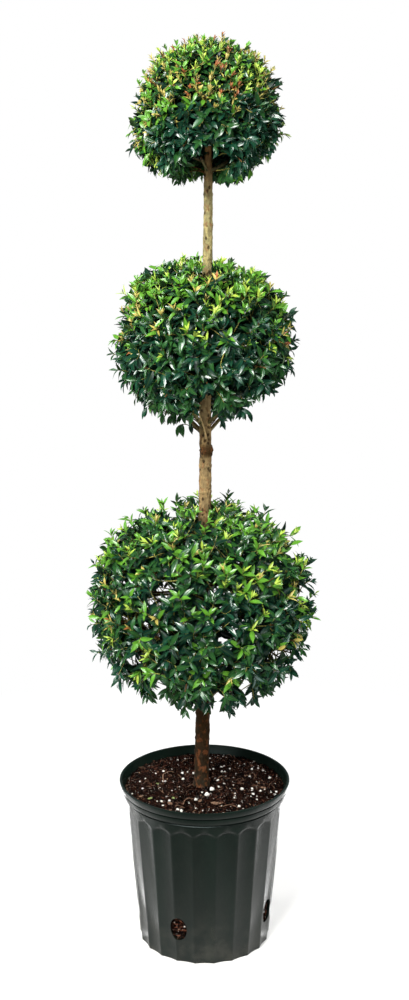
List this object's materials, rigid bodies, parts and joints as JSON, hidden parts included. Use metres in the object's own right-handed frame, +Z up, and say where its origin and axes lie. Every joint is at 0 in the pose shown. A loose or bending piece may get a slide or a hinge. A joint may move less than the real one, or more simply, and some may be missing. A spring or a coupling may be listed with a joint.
{
  "type": "triple ball topiary",
  "caption": "Potted evergreen topiary: one upright trunk carrying clipped balls of small leaves that grow larger downwards, in a fluted black nursery pot filled with bark mix.",
  "frame": {"origin": "middle of the pot's flat underside, on the ground", "axes": "+Z up along the trunk, -Y towards the side that the picture shows, +X to the right in it"},
  "size_m": [0.3756, 0.3907, 1.5843],
  "materials": {
    "black_plastic": "satin, fine-grained",
    "bark_mix": "rough",
    "bark": "rough",
    "foliage": "glossy leaves"
  },
  "bodies": {
    "root": {"pot": "black_plastic", "potting_mix": "bark_mix", "trunk": "bark", "bottom_bough_1": "bark", "bottom_bough_2": "bark", "bottom_bough_3": "bark", "bottom_bough_4": "bark", "bottom_bough_5": "bark", "middle_bough_1": "bark", "middle_bough_2": "bark", "middle_bough_3": "bark", "middle_bough_4": "bark", "middle_bough_5": "bark", "top_bough_1": "bark", "top_bough_2": "bark", "top_bough_3": "bark", "top_bough_4": "bark", "bottom_ball_foliage": "foliage", "middle_ball_foliage": "foliage", "top_ball_foliage": "foliage"}
  },
  "joints": []
}
